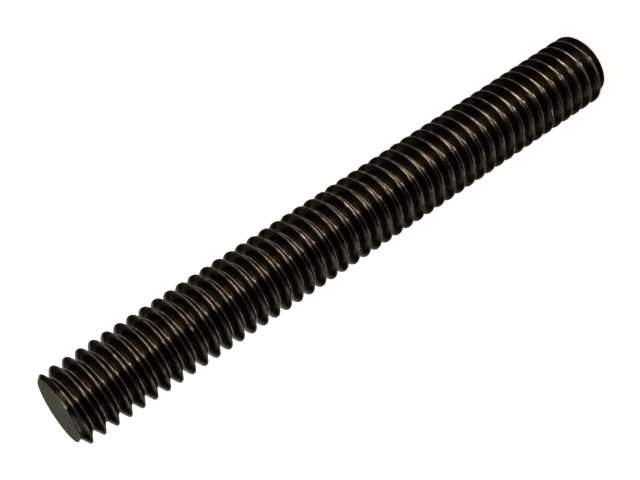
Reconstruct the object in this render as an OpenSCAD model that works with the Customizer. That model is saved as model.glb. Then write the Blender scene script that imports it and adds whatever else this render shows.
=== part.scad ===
// Fully threaded stud, standing on one end, with its origin at the middle of the lower end face

/* [Bar] */
// Length from end face to end face
stud_length = 66.7; // [30:0.1:90]
// Length of the 45 degree chamfer at each end
chamfer_length = 0.4; // [0.1:0.05:0.8]

/* [Thread] */
// Major diameter, over the crests
thread_d = 7.8; // [6:0.1:12]
// Pitch, from one crest to the next
thread_pitch = 1.411; // [1.25:0.001:1.8]

/* [Hidden] */
// 60 degree form: flat crests an eighth of a pitch wide and roots a sixth
flank_angle = 30;
crest_flat = thread_pitch / 8;
root_flat = thread_pitch / 6;
thread_depth = (thread_pitch - crest_flat - root_flat) / 2 / tan(flank_angle);
major_r = thread_d / 2;
minor_r = major_r - thread_depth;

// The groove runs on past both ends, so that it cuts through the end faces
groove_turns = stud_length / thread_pitch + 2;

// Facets: steps round one turn, with fewer on a long stud, and two triangles a step on each of four sides
facet_budget = 12000;
steps_per_turn = min(24, floor(facet_budget / (groove_turns * 4 * 2)));
// The groove's outer side clears the crests by this much, also at the middle of a step
outside_gap = 0.03;
outer_r = (major_r + outside_gap) / cos(180 / steps_per_turn);

$fn = 96;

// Half the groove's width at a radius
function groove_half_width(r) = root_flat / 2 + (r - minor_r) * tan(flank_angle);

// Round bar with a chamfer at each end
module bar() {
    end_r = major_r - chamfer_length;
    rotate_extrude()
        polygon([
            [0, 0],
            [end_r, 0],
            [major_r, chamfer_length],
            [major_r, stud_length - chamfer_length],
            [end_r, stud_length],
            [0, stud_length]
        ]);
}

// Groove between the crests, swept up a right-hand helix
module groove() {
    section = [
        for (corner = [[minor_r, -1], [minor_r, 1], [outer_r, 1], [outer_r, -1]])
            [corner[0], corner[1] * groove_half_width(corner[0])]
    ];
    sides = len(section);
    steps = ceil(groove_turns * steps_per_turn);
    points = [
        for (i = [0 : steps], corner = section)
            let (turn = i / steps_per_turn)
            [
                corner[0] * cos(360 * turn),
                corner[0] * sin(360 * turn),
                corner[1] + (turn - 1) * thread_pitch
            ]
    ];
    walls = [
        for (i = [0 : steps - 1], j = [0 : sides - 1])
            let (a = i * sides + j, b = i * sides + (j + 1) % sides)
            each [[a, a + sides, b], [b, a + sides, b + sides]]
    ];
    first_end = [for (j = [0 : sides - 1]) j];
    last_end = [for (j = [sides - 1 : -1 : 0]) steps * sides + j];
    polyhedron(points, concat([first_end, last_end], walls));
}

// The stud: the bar with its thread cut from end to end
module stud() {
    color([0.16, 0.15, 0.13])
        difference() {
            bar();
            groove();
        }
}

stud();
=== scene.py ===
"""A blackened steel stud with a rolled thread, standing on a white studio floor."""

import math
import random

import bmesh
import bpy
from mathutils import Matrix, Vector, noise


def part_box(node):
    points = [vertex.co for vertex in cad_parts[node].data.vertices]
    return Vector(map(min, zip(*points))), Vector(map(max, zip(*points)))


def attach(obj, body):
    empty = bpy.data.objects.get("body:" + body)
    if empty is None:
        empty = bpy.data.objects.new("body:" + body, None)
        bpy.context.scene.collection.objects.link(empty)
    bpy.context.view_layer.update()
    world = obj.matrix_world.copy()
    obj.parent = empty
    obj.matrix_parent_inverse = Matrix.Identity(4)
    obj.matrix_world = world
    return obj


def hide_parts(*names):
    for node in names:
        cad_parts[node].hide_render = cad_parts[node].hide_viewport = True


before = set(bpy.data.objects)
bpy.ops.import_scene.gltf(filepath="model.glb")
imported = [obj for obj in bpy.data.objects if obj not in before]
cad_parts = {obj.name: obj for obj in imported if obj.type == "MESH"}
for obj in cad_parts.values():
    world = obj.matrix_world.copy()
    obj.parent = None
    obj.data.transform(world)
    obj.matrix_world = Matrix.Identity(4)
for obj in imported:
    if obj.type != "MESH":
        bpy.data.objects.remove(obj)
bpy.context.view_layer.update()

# Sizes of the stud in metres: length and diameter from the solid, the rest as in its source
box_low, box_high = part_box("stud")
LENGTH = box_high.z - box_low.z
MAJOR_R = (box_high.x - box_low.x) / 2
PITCH = 0.001411
CHAMFER = 0.0004
FLANK_ANGLE = math.radians(30)
CREST_FLAT = PITCH / 8
ROOT_FLAT = PITCH / 6
DEPTH = (PITCH - CREST_FLAT - ROOT_FLAT) / 2 / math.tan(FLANK_ANGLE)
MINOR_R = MAJOR_R - DEPTH

# Rolled corners: a full radius in the root, and a small one on each side of the crest
FLANK_LEAN = math.radians(90) - FLANK_ANGLE
ROOT_RADIUS = ROOT_FLAT / 2 / math.tan(FLANK_LEAN / 2)
CREST_RADIUS = 0.00006

# Mesh of the thread and of the blank that trims it; points closer than the merge gap become one
STEPS_PER_TURN = 96
ROOT_STEPS = 4
CREST_STEPS = 3
SPARE_TURNS = 1
BLANK_STEPS = 192
BLANK_GAP = 0.00005
MERGE_GAP = 0.000001
SHARP_ANGLE = math.radians(38)

# Wear: crests uneven by this much, and small nicks in them, most of them strewn by a fixed seed
UNEVEN = 0.000014
UNEVEN_SCALE = 700
NICK_SEED = 11
NICK_COUNT = 16
NICK_LENGTH = (0.0002, 0.00042)
NICK_HEIGHT = 0.00018
NICK_DEPTH = (0.00002, 0.00007)
NICK_MARGIN = 0.002
NICK_ATTRIBUTE = "nick"
CREST_BAND = 0.0003
# Nicks that the photograph shows, as height and degrees round from the camera
SEEN_NICKS = ((0.0338, 19.3), (0.0396, 16.4), (0.0536, -1.9))

# Camera, as fitted to the photograph: picture of 640 by 480, focal length in pixels, sensor in millimetres
PICTURE = (640, 480)
FOCAL_PX = 1363.8
SENSOR = 36.0
CLIP = (0.005, 10)
# Middle of the near end in the picture, and pixels to one diameter there
NEAR_END_PX = (59.827, 412.523)
NEAR_END_SCALE = 88.0187
# Lean of the axis away from the camera, its slope in the picture, and the camera's place round the stud
AXIS_LEAN = math.radians(23.180)
AXIS_SLOPE = math.radians(33.5835)
CAMERA_AZIMUTH = math.radians(236.38)

# Finish: crests, flanks, roots and sawn ends each vary between two colours
OXIDE = ((0.03, 0.028, 0.023), (0.076, 0.069, 0.057))
BROWN = ((0.04, 0.029, 0.016), (0.032, 0.028, 0.019))
OILY = ((0.055, 0.048, 0.039), (0.12, 0.107, 0.088))
SAWN = ((0.07, 0.072, 0.058), (0.1, 0.1, 0.084))
# Rubbed crests, bare steel in the nicks, and the tint of reflections at a grazing angle
RUBBED = (0.12, 0.105, 0.087)
RUBBED_SHARE = 0.55
BARE = (0.15, 0.14, 0.125)
EDGE_TINT = (0.42, 0.43, 0.42)
# Radii between which the colours of crests and roots fade, and how deep an end face reaches
CREST_FADE = (MAJOR_R - 0.00022, MAJOR_R - 0.00004)
ROOT_FADE = (MINOR_R + 0.00015, MINOR_R + 0.0004)
END_DEPTH = 0.00001

# Noise in the finish, as features to the metre, and the range of its values that is used
PATCH_SCALE = 420
PATCH_RANGE = (0.3, 0.65)
RUB_SCALE = 900
RUB_RANGE = (0.52, 0.72)
FLECK_SCALE = 1300
FLECK_RANGE = (0.36, 0.62)
DRY_RANGE = (0.4, 0.6)
GRAIN_SCALE = 5200
GRAIN_RANGE = (0.3, 0.7)
SAW_SCALE = (9000, 500)
SAW_RANGE = (0.3, 0.7)
# Rolling marks vary over a unit circle that stands for one pitch, and over the radius
MARK_SCALE = 9
MARK_RADIUS_SCALE = 3000
MARK_RANGE = (0.35, 0.65)

# Roughness by the grain, and what dry flecks, rolling marks and sawn ends add
ROUGHNESS = (0.11, 0.17)
DRY_ROUGHNESS = 0.07
MARK_ROUGHNESS = 0.06
END_ROUGHNESS = 0.25
# Bumps, as a height in metres and a strength
MARK_BUMP = (0.00001, 0.5)
GRAIN_BUMP = (0.000008, 0.5)
SAW_BUMP = (0.00002, 0.6)

# Floor: flat to this radius, then a bend up into a low wall
FLOOR_R = 1.0
FLOOR_BEND = 0.3
FLOOR_BEND_STEPS = 8
FLOOR_WALL = 0.32
FLOOR_STEPS = 96
FLOOR_COLOUR = (0.8, 0.8, 0.8)
# It glows less near the stud, where the lamps light it
FLOOR_GLOW = (0.72, 1.0)
FLOOR_GLOW_R = (0.03, 0.22)

# Light: the colours of the lamps and panels, and the level of the world
WHITE = (1, 1, 1)
WARM = (1, 0.83, 0.72)
WORLD_GLOW = 0.04
# Soft boxes: degrees round from the camera's side, degrees up, width and height, brightness, colour
SOFT_BOX_DISTANCE = 0.5
SOFT_BOXES = {
    "strip": (2, 42, (0.06, 0.42), 18, WARM),
    "top": (125, 76, (0.1, 0.1), 3, WARM),
    "upper_side": (150, 42, (0.3, 0.3), 0.35, WHITE),
    "lower_side": (-124, 50, (0.3, 0.3), 0.75, WHITE),
    "back": (180, 50, (0.08, 0.24), 6, WHITE),
}

# Panels and a card on the floor, for reflections alone: degrees round from the camera's side, and radii
NEAR_PANEL = ((18, 50), (0.006, 0.055))
NEAR_PANEL_GLOW = 10.0
PANEL = ((6, 46), (0.055, 0.9))
PANEL_GLOW = 4.8
CARD = ((-3, -62), (0.008, 0.9))
CARD_COLOUR = (0.01, 0.01, 0.01)
CARD_ROUGHNESS = 0.9
CARD_SPECULAR = 0.1
SECTOR_HEIGHT = 0.0004
SECTOR_STEPS = 24


# Camera


def make_camera():
    """Camera at the photograph's place, from where the near end and the axis lie in the picture."""
    lean_cos = math.cos(AXIS_LEAN)
    lean_sin = math.sin(AXIS_LEAN)
    slope_cos = math.cos(AXIS_SLOPE)
    slope_sin = math.sin(AXIS_SLOPE)
    turn_cos = math.cos(CAMERA_AZIMUTH)
    turn_sin = math.sin(CAMERA_AZIMUTH)

    # Directions along the camera's own right, up and back
    down_axis = Vector((lean_cos * slope_cos, lean_cos * slope_sin, -lean_sin))
    side = Vector((-slope_sin, slope_cos, 0))
    front = down_axis.cross(side)
    stud_x = turn_cos * side + turn_sin * front
    stud_y = turn_sin * side - turn_cos * front
    stud_z = -down_axis

    # Where the middle of the near end is, seen from the camera
    distance = FOCAL_PX / NEAR_END_SCALE * 2 * MAJOR_R
    across = (NEAR_END_PX[0] - PICTURE[0] / 2) / FOCAL_PX
    below = (NEAR_END_PX[1] - PICTURE[1] / 2) / FOCAL_PX
    near_end = distance * Vector((across, -below, -1))

    turn = Matrix((stud_x, stud_y, stud_z))
    place = Vector((0, 0, LENGTH)) - turn @ near_end
    data = bpy.data.cameras.new("camera")
    data.sensor_width = SENSOR
    data.lens = SENSOR * FOCAL_PX / PICTURE[0]
    data.clip_start = CLIP[0]
    data.clip_end = CLIP[1]
    camera = bpy.data.objects.new("camera", data)
    camera.matrix_world = Matrix.Translation(place) @ turn.to_4x4()
    bpy.context.scene.collection.objects.link(camera)
    bpy.context.scene.camera = camera


# Meshes


def as_object(name, mesh):
    """Object in the scene that holds a mesh."""
    data = bpy.data.meshes.new(name)
    mesh.to_mesh(data)
    mesh.free()
    made = bpy.data.objects.new(name, data)
    bpy.context.scene.collection.objects.link(made)
    return made


def revolved(outline, steps):
    """Mesh that an outline of radii and heights makes round the axis, and its rings of points."""
    mesh = bmesh.new()
    rings = []
    for r, z in outline:
        ring = []
        for step in range(steps):
            angle = 2 * math.pi * step / steps
            ring.append(mesh.verts.new((r * math.cos(angle), r * math.sin(angle), z)))
        rings.append(ring)
    for low, high in zip(rings, rings[1:]):
        for i in range(steps):
            j = (i + 1) % steps
            mesh.faces.new((low[i], low[j], high[j], high[i]))
    return mesh, rings


# Thread


def arc(middle_z, middle_r, radius, first, last, steps):
    """Points of an arc in the axial plane, by the angle of its outward side from the radial direction."""
    points = []
    for i in range(steps + 1):
        angle = first + (last - first) * i / steps
        points.append((middle_z + radius * math.sin(angle), middle_r + radius * math.cos(angle)))
    return points


def midpoint(a, b):
    """Point halfway between two points of the section."""
    return ((a[0] + b[0]) / 2, (a[1] + b[1]) / 2)


def thread_section():
    """One pitch of the thread, from one groove to the next, as places along the axis and radii."""
    crest_middle_r = MAJOR_R - CREST_RADIUS
    crest_half = CREST_FLAT / 2 - CREST_RADIUS * math.tan(FLANK_LEAN / 2)
    root_middle_r = MINOR_R + ROOT_RADIUS
    root = []
    for z, r in arc(0, 0, ROOT_RADIUS, -FLANK_LEAN, FLANK_LEAN, ROOT_STEPS):
        root.append((z, root_middle_r - r))
    lower_corner = arc(PITCH / 2 - crest_half, crest_middle_r, CREST_RADIUS, -FLANK_LEAN, 0, CREST_STEPS)
    upper_corner = arc(PITCH / 2 + crest_half, crest_middle_r, CREST_RADIUS, 0, FLANK_LEAN, CREST_STEPS)
    next_root = (root[0][0] + PITCH, root[0][1])
    lower_flank = midpoint(root[-1], lower_corner[0])
    upper_flank = midpoint(upper_corner[-1], next_root)
    return root + [lower_flank] + lower_corner + upper_corner + [upper_flank]


def join(mesh, column, next_column, shift, count):
    """Quads between two columns of points, the second one read from some rows further up."""
    for row in range(count - 1):
        beside = row + shift
        mesh.faces.new((column[row], next_column[beside], next_column[beside + 1], column[row + 1]))


def cap(mesh, rim):
    """Fan of triangles from the axis to a rim."""
    middle_z = sum(vert.co.z for vert in rim) / len(rim)
    middle = mesh.verts.new((0, 0, middle_z))
    for i, vert in enumerate(rim):
        mesh.faces.new((middle, vert, rim[(i + 1) % len(rim)]))


def swept_thread():
    """Closed mesh of the thread, a little longer than the stud at both ends."""
    section = thread_section()
    rows_per_pitch = len(section)
    pitches = math.ceil(LENGTH / PITCH) + 2 * SPARE_TURNS + 1
    mesh = bmesh.new()
    columns = []
    for step in range(STEPS_PER_TURN):
        share = step / STEPS_PER_TURN
        angle = 2 * math.pi * share
        column = []
        for k in range(pitches):
            start = (k - SPARE_TURNS - 1 + share) * PITCH
            for z, r in section:
                column.append(mesh.verts.new((r * math.cos(angle), r * math.sin(angle), start + z)))
        columns.append(column)

    # The last column joins the first one a pitch higher
    rows = pitches * rows_per_pitch
    for step in range(STEPS_PER_TURN - 1):
        join(mesh, columns[step], columns[step + 1], 0, rows)
    join(mesh, columns[-1], columns[0], rows_per_pitch, rows - rows_per_pitch)

    # Each rim closes along the step of one pitch between the last column and the first
    low_step = columns[0][rows_per_pitch:0:-1]
    high_step = columns[-1][rows - 2:rows - rows_per_pitch - 1:-1]
    cap(mesh, [column[0] for column in columns] + low_step)
    cap(mesh, [column[-1] for column in columns] + high_step)
    bmesh.ops.recalc_face_normals(mesh, faces=mesh.faces[:])
    return mesh


def chamfered_blank():
    """The stud's blank, with its chamfers, standing a little clear of the crests."""
    end_r = MAJOR_R - CHAMFER
    outline = [
        (end_r, 0),
        (MAJOR_R + BLANK_GAP, CHAMFER + BLANK_GAP),
        (MAJOR_R + BLANK_GAP, LENGTH - CHAMFER - BLANK_GAP),
        (end_r, LENGTH),
    ]
    mesh, rings = revolved(outline, BLANK_STEPS)
    mesh.faces.new(rings[0])
    mesh.faces.new(rings[-1])
    bmesh.ops.recalc_face_normals(mesh, faces=mesh.faces[:])
    return mesh


def merge_doubles(data):
    """Joins the doubled points that the cut leaves where edges cross, so that the mesh stays closed."""
    mesh = bmesh.new()
    mesh.from_mesh(data)
    bmesh.ops.remove_doubles(mesh, verts=mesh.verts[:], dist=MERGE_GAP)
    bmesh.ops.dissolve_degenerate(mesh, edges=mesh.edges[:], dist=MERGE_GAP)
    mesh.to_mesh(data)
    mesh.free()


def nick_list():
    """Nicks as a place on the crest, half the length round it, and a depth."""
    draw = random.Random(NICK_SEED)
    facing = CAMERA_AZIMUTH - math.radians(90)
    places = [(z, facing + math.radians(turned)) for z, turned in SEEN_NICKS]
    for _ in range(NICK_COUNT):
        places.append((draw.uniform(NICK_MARGIN, LENGTH - NICK_MARGIN), draw.uniform(0, 2 * math.pi)))
    nicks = []
    for z, angle in places:
        # The nearest crest: half a pitch from the groove, which rises a pitch in a turn
        share = angle / (2 * math.pi) + 0.5
        crest_z = (round(z / PITCH - share) + share) * PITCH
        nicks.append((crest_z, angle, draw.uniform(*NICK_LENGTH), draw.uniform(*NICK_DEPTH)))
    return nicks


def wear(mesh):
    """Uneven crests with small nicks; where a nick has bared the steel is kept in an attribute."""
    bare = mesh.attributes.new(NICK_ATTRIBUTE, "FLOAT", "POINT")
    nicks = nick_list()
    for vert in mesh.vertices:
        x, y, z = vert.co
        radius = math.hypot(x, y)
        on_crest = (radius - MAJOR_R + CREST_BAND) / CREST_BAND
        if on_crest <= 0 or z < CHAMFER or z > LENGTH - CHAMFER:
            continue
        drop = UNEVEN * on_crest * (0.5 + 0.5 * noise.noise(vert.co * UNEVEN_SCALE))
        for nick_z, nick_angle, half_length, depth in nicks:
            above = (z - nick_z) / NICK_HEIGHT
            if abs(above) >= 1:
                continue
            turned = math.remainder(math.atan2(y, x) - nick_angle, 2 * math.pi) * MAJOR_R / half_length
            reach = 1 - above * above - turned * turned
            if reach > 0:
                drop += depth * reach * on_crest
                bare.data[vert.index].value = reach
        vert.co.x = x * (radius - drop) / radius
        vert.co.y = y * (radius - drop) / radius


def make_stud(material):
    """The threaded stud: the swept thread cut off by the blank's ends and chamfers, and then worn."""
    stud = as_object("threaded_stud", swept_thread())
    blank = as_object("blank", chamfered_blank())
    cut = stud.modifiers.new("ends", "BOOLEAN")
    cut.operation = "INTERSECT"
    cut.solver = "EXACT"
    cut.object = blank
    graph = bpy.context.evaluated_depsgraph_get()
    trimmed = bpy.data.meshes.new_from_object(stud.evaluated_get(graph))
    stud.modifiers.clear()
    stud.data = trimmed
    bpy.data.objects.remove(blank)
    merge_doubles(trimmed)
    wear(trimmed)
    trimmed.materials.clear()
    trimmed.materials.append(material)
    trimmed.shade_smooth()
    trimmed.set_sharp_from_angle(angle=SHARP_ANGLE)
    return stud


# Materials


class Nodes:
    """Short calls for building one material's nodes."""

    def __init__(self, name):
        self.material = bpy.data.materials.new(name)
        self.material.use_nodes = True
        self.tree = self.material.node_tree
        self.shader = self.tree.nodes["Principled BSDF"]

    def add(self, kind):
        return self.tree.nodes.new(kind)

    def feed(self, socket, value):
        """Links a socket to another one, or sets it to a colour or a number."""
        if isinstance(value, bpy.types.NodeSocket):
            self.tree.links.new(value, socket)
        elif isinstance(value, tuple):
            socket.default_value = (*value, 1)
        else:
            socket.default_value = value

    def place(self):
        """Place on the object, in metres."""
        return self.add("ShaderNodeTexCoord").outputs["Object"]

    def maths(self, operation, first, second=0.0):
        node = self.add("ShaderNodeMath")
        node.operation = operation
        self.feed(node.inputs[0], first)
        self.feed(node.inputs[1], second)
        return node.outputs[0]

    def spread(self, value, from_range, to_range=(0.0, 1.0), easing="SMOOTHSTEP"):
        """Value mapped from one range to another."""
        node = self.add("ShaderNodeMapRange")
        node.interpolation_type = easing
        self.feed(node.inputs["Value"], value)
        self.feed(node.inputs["From Min"], from_range[0])
        self.feed(node.inputs["From Max"], from_range[1])
        self.feed(node.inputs["To Min"], to_range[0])
        self.feed(node.inputs["To Max"], to_range[1])
        return node.outputs["Result"]

    def noise(self, vector, scale, detail, roughness):
        node = self.add("ShaderNodeTexNoise")
        self.feed(node.inputs["Vector"], vector)
        self.feed(node.inputs["Scale"], scale)
        self.feed(node.inputs["Detail"], detail)
        self.feed(node.inputs["Roughness"], roughness)
        return node.outputs["Fac"]

    def vector(self, x, y, z):
        node = self.add("ShaderNodeCombineXYZ")
        for socket, value in zip(node.inputs, (x, y, z)):
            self.feed(socket, value)
        return node.outputs[0]

    def mix(self, share, first, second):
        """Colour mixed by a share from 0 to 1."""
        node = self.add("ShaderNodeMix")
        node.data_type = "RGBA"
        self.feed(node.inputs["Factor"], share)
        self.feed(node.inputs["A"], first)
        self.feed(node.inputs["B"], second)
        return node.outputs["Result"]

    def bump(self, height, size, normal=None):
        """Normal raised by a height between 0 and 1; the size is its distance and its strength."""
        node = self.add("ShaderNodeBump")
        self.feed(node.inputs["Distance"], size[0])
        self.feed(node.inputs["Strength"], size[1])
        self.feed(node.inputs["Height"], height)
        if normal is not None:
            self.feed(node.inputs["Normal"], normal)
        return node.outputs["Normal"]

    def glow(self, colour, strength):
        node = self.add("ShaderNodeEmission")
        self.feed(node.inputs["Color"], colour)
        self.feed(node.inputs["Strength"], strength)
        return node.outputs[0]

    def use_surface(self, surface):
        """Takes another surface in place of the usual shader."""
        self.tree.nodes.remove(self.shader)
        self.feed(self.tree.nodes["Material Output"].inputs["Surface"], surface)


def rolling_marks(n, x, y, z, radius):
    """Noise along the helix; a place in the pitch is a point on a circle, so that no seam shows."""
    turn = n.maths("MULTIPLY", z, 2 * math.pi / PITCH)
    turn_cos = n.maths("COSINE", turn)
    turn_sin = n.maths("SINE", turn)
    across = n.maths("ADD", n.maths("MULTIPLY", turn_cos, x), n.maths("MULTIPLY", turn_sin, y))
    along = n.maths("SUBTRACT", n.maths("MULTIPLY", turn_sin, x), n.maths("MULTIPLY", turn_cos, y))
    helix = n.vector(
        n.maths("DIVIDE", across, radius),
        n.maths("DIVIDE", along, radius),
        n.maths("MULTIPLY", radius, MARK_RADIUS_SCALE),
    )
    return n.noise(helix, MARK_SCALE, detail=4, roughness=0.6)


def saw_marks(n, x, y, z):
    """Noise drawn out into straight streaks."""
    streaks = n.vector(n.maths("MULTIPLY", x, SAW_SCALE[0]), n.maths("MULTIPLY", y, SAW_SCALE[1]), z)
    return n.noise(streaks, scale=1, detail=3, roughness=0.55)


def steel():
    """Oiled black oxide: brown on the flanks, greyer on the crests, oily in the roots, bare in the nicks."""
    n = Nodes("oiled_black_oxide")
    place = n.place()
    parts = n.add("ShaderNodeSeparateXYZ")
    n.feed(parts.inputs[0], place)
    x, y, z = parts.outputs
    radius = n.maths("SQRT", n.maths("ADD", n.maths("MULTIPLY", x, x), n.maths("MULTIPLY", y, y)))

    # Masks: crests, roots of the grooves, the two end faces, nicks
    crest = n.spread(radius, CREST_FADE)
    root = n.spread(radius, ROOT_FADE, (1.0, 0.0))
    from_middle = n.maths("ABSOLUTE", n.maths("SUBTRACT", z, LENGTH / 2))
    end = n.maths("GREATER_THAN", from_middle, LENGTH / 2 - END_DEPTH)
    nick = n.add("ShaderNodeAttribute")
    nick.attribute_name = NICK_ATTRIBUTE

    # Uneven oxide, rubbed places, fine grain, and the marks of rolling and sawing
    patches = n.noise(place, PATCH_SCALE, detail=4, roughness=0.6)
    flecks = n.noise(place, FLECK_SCALE, detail=4, roughness=0.65)
    rubs = n.noise(place, RUB_SCALE, detail=4, roughness=0.65)
    grain = n.noise(place, GRAIN_SCALE, detail=3, roughness=0.6)
    marks = rolling_marks(n, x, y, z, radius)
    saw = saw_marks(n, x, y, z)

    flecked = n.spread(flecks, FLECK_RANGE)
    brown = n.mix(n.spread(patches, PATCH_RANGE), *BROWN)
    colour = n.mix(crest, brown, n.mix(flecked, *OXIDE))
    colour = n.mix(root, colour, n.mix(flecked, *OILY))
    rubbed = n.maths("MULTIPLY", crest, n.spread(rubs, RUB_RANGE))
    colour = n.mix(n.maths("MULTIPLY", rubbed, RUBBED_SHARE), colour, RUBBED)
    colour = n.mix(end, colour, n.mix(n.spread(saw, SAW_RANGE), *SAWN))
    colour = n.mix(nick.outputs["Fac"], colour, BARE)
    n.feed(n.shader.inputs["Base Color"], colour)
    n.feed(n.shader.inputs["Metallic"], 1)
    n.feed(n.shader.inputs["Specular Tint"], EDGE_TINT)

    rough = n.spread(grain, GRAIN_RANGE, ROUGHNESS)
    rough = n.maths("ADD", rough, n.spread(flecks, DRY_RANGE, (DRY_ROUGHNESS, 0.0)))
    rough = n.maths("ADD", rough, n.maths("MULTIPLY", n.spread(marks, MARK_RANGE), MARK_ROUGHNESS))
    rough = n.maths("ADD", rough, n.maths("MULTIPLY", end, END_ROUGHNESS))
    n.feed(n.shader.inputs["Roughness"], rough)

    normal = n.bump(marks, MARK_BUMP)
    normal = n.bump(grain, GRAIN_BUMP, normal)
    normal = n.bump(n.maths("MULTIPLY", saw, end), SAW_BUMP, normal)
    n.feed(n.shader.inputs["Normal"], normal)
    return n.material


def white_floor():
    """White surface that glows for what the camera and reflections see, and still takes a soft shadow."""
    n = Nodes("white_floor")
    rays = n.add("ShaderNodeLightPath").outputs
    seen = n.maths("MAXIMUM", rays["Is Camera Ray"], rays["Is Glossy Ray"])
    seen = n.maths("MAXIMUM", seen, rays["Is Transmission Ray"])
    from_stud = n.add("ShaderNodeVectorMath")
    from_stud.operation = "LENGTH"
    n.feed(from_stud.inputs[0], n.place())
    level = n.spread(from_stud.outputs["Value"], FLOOR_GLOW_R, FLOOR_GLOW, easing="LINEAR")
    diffuse = n.add("ShaderNodeBsdfDiffuse")
    n.feed(diffuse.inputs["Color"], FLOOR_COLOUR)
    both = n.add("ShaderNodeAddShader")
    n.feed(both.inputs[0], diffuse.outputs[0])
    n.feed(both.inputs[1], n.glow(WHITE, n.maths("MULTIPLY", seen, level)))
    n.use_surface(both.outputs[0])
    return n.material


def panel_glow(name, strength):
    """Surface of a panel, which glows in the warm colour."""
    n = Nodes(name)
    n.use_surface(n.glow(WARM, strength))
    return n.material


def black_card():
    """Dull black surface."""
    n = Nodes("black_card")
    n.feed(n.shader.inputs["Base Color"], CARD_COLOUR)
    n.feed(n.shader.inputs["Roughness"], CARD_ROUGHNESS)
    n.feed(n.shader.inputs["Specular IOR Level"], CARD_SPECULAR)
    return n.material


# Stage


def make_floor(material):
    """Round floor that rises into a low wall all round, so that it fills the picture from any side."""
    outline = [(FLOOR_R, 0.0)]
    for i in range(1, FLOOR_BEND_STEPS + 1):
        angle = math.radians(90) * i / FLOOR_BEND_STEPS
        outline.append((FLOOR_R + FLOOR_BEND * math.sin(angle), FLOOR_BEND * (1 - math.cos(angle))))
    outline.append((FLOOR_R + FLOOR_BEND, FLOOR_WALL))
    mesh, rings = revolved(outline, FLOOR_STEPS)
    mesh.faces.new(rings[0])
    floor = as_object("floor", mesh)
    floor.data.materials.append(material)


def direction_to(azimuth, elevation):
    """Unit vector; azimuth is from the camera's side of the stud, towards the upper side of the picture."""
    away = CAMERA_AZIMUTH + math.radians(azimuth)
    rise = math.radians(elevation)
    return Vector((math.sin(away) * math.cos(rise), -math.cos(away) * math.cos(rise), math.sin(rise)))


def soft_box(name, azimuth, elevation, size, brightness, colour):
    """Rectangular lamp that faces the middle of the stud; a brightness of 1 is a white face."""
    data = bpy.data.lights.new(name, "AREA")
    data.shape = "RECTANGLE"
    data.size = size[0]
    data.size_y = size[1]
    data.color = colour
    data.energy = brightness * math.pi * size[0] * size[1]
    lamp = bpy.data.objects.new(name, data)
    lamp.visible_camera = False
    away = direction_to(azimuth, elevation)
    lamp.location = Vector((0, 0, LENGTH / 2)) + away * SOFT_BOX_DISTANCE
    lamp.rotation_mode = "QUATERNION"
    lamp.rotation_quaternion = away.to_track_quat("Z", "Y")
    bpy.context.scene.collection.objects.link(lamp)


def sector(name, azimuths, radii, material):
    """Part of a ring that lies on the floor and is seen only in reflections."""
    mesh = bmesh.new()
    pairs = []
    for i in range(SECTOR_STEPS + 1):
        out = direction_to(azimuths[0] + (azimuths[1] - azimuths[0]) * i / SECTOR_STEPS, 0)
        pairs.append([mesh.verts.new(out * r + Vector((0, 0, SECTOR_HEIGHT))) for r in radii])
    for first, second in zip(pairs, pairs[1:]):
        mesh.faces.new((first[0], first[1], second[1], second[0]))
    made = as_object(name, mesh)
    made.data.materials.append(material)
    made.visible_camera = False
    made.visible_diffuse = False
    made.visible_shadow = False


def make_world():
    """Faint even light from all round."""
    world = bpy.data.worlds.new("world")
    world.use_nodes = True
    background = world.node_tree.nodes["Background"]
    background.inputs["Color"].default_value = (*WHITE, 1)
    background.inputs["Strength"].default_value = WORLD_GLOW
    bpy.context.scene.world = world


bpy.context.scene.view_settings.view_transform = "Standard"
make_camera()

stud = make_stud(steel())
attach(stud, "root")
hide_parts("stud")

make_floor(white_floor())
for box_name, box_values in SOFT_BOXES.items():
    soft_box(box_name, *box_values)
sector("near_panel", *NEAR_PANEL, panel_glow("near_panel_glow", NEAR_PANEL_GLOW))
sector("panel", *PANEL, panel_glow("panel_glow", PANEL_GLOW))
sector("card", *CARD, black_card())
make_world()
